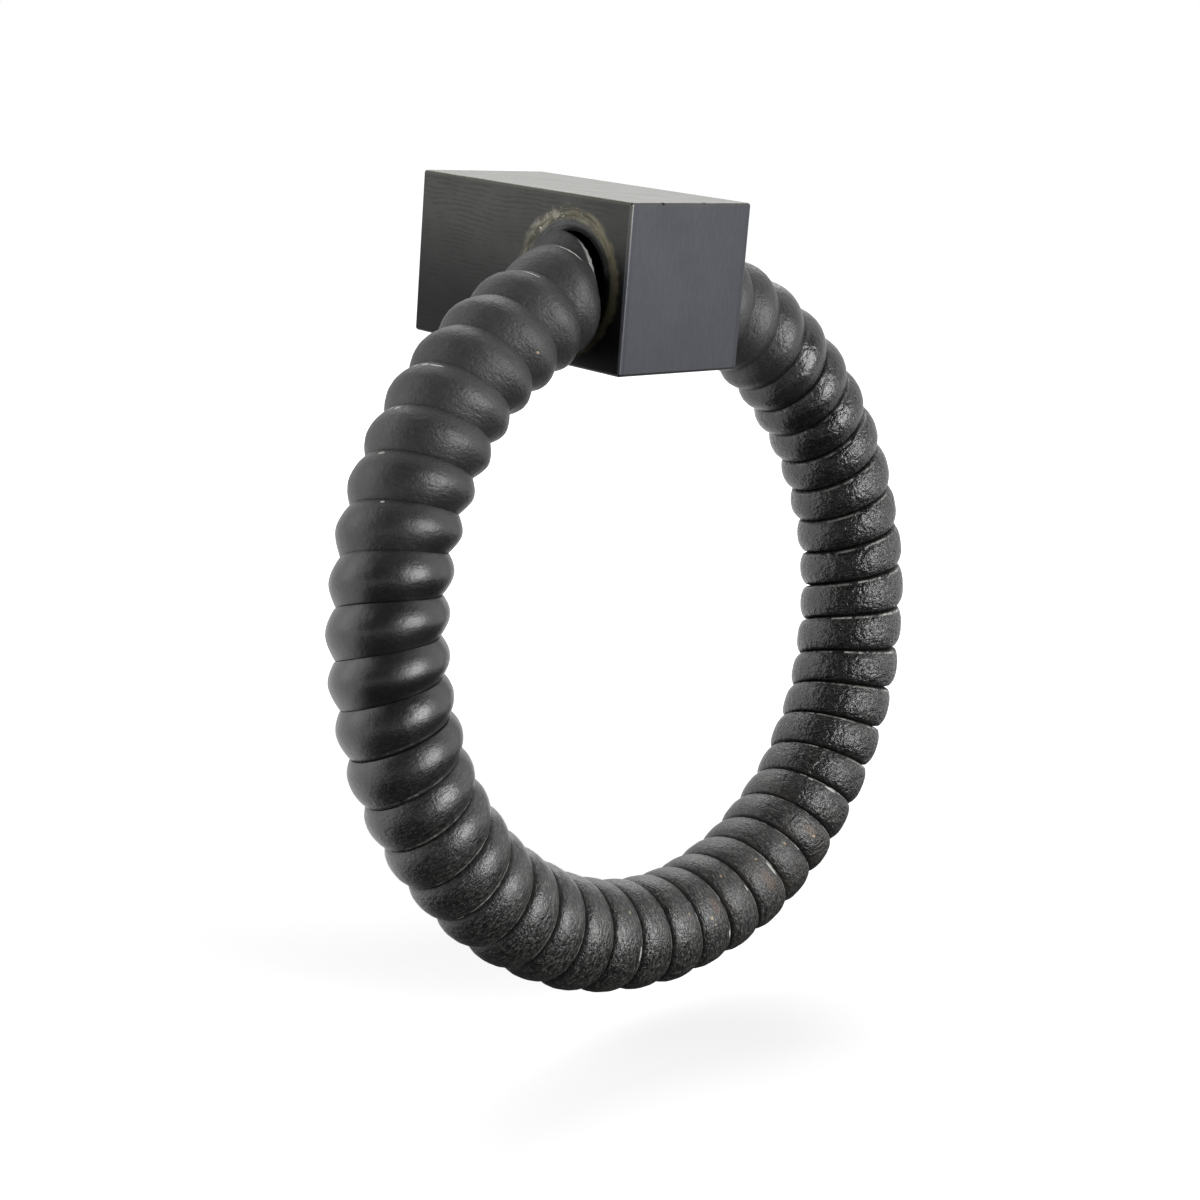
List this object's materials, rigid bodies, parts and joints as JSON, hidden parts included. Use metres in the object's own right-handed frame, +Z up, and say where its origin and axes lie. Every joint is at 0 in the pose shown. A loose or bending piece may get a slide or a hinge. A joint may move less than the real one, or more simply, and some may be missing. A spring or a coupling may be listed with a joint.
{
  "type": "ring pull handle",
  "caption": "Square metal block pull with a leather-wound ring that hangs through its cross bore and swings.",
  "frame": {"origin": "middle of the block's back face, on the axis of the fixing hole, where the block meets the drawer front", "axes": "+Y points into the drawer front, out of the fixing hole's mouth; +Z is up; +X is to the right as seen by someone facing the drawer"},
  "size_m": [0.1179, 0.0612, 0.1216],
  "materials": {
    "blackened_metal": "blackened brass, satin, worn to olive brass round the bore's mouths",
    "ring_rod": "darkened brass rod, dull",
    "black_leather": "black dyed leather strip, satin, wound tight in domed turns"
  },
  "bodies": {
    "block": {"mounting_block": "blackened_metal"},
    "ring": {"ring_core": "ring_rod", "leather_wrap": "black_leather"}
  },
  "joints": [
    {"name": "ring_swing", "type": "hinge", "parent": "block", "child": "ring", "pos_m": [0, -0.0357, -0.00195], "axis": [-1, 0, 0], "range_deg": [-24.9, 185.5]}
  ]
}
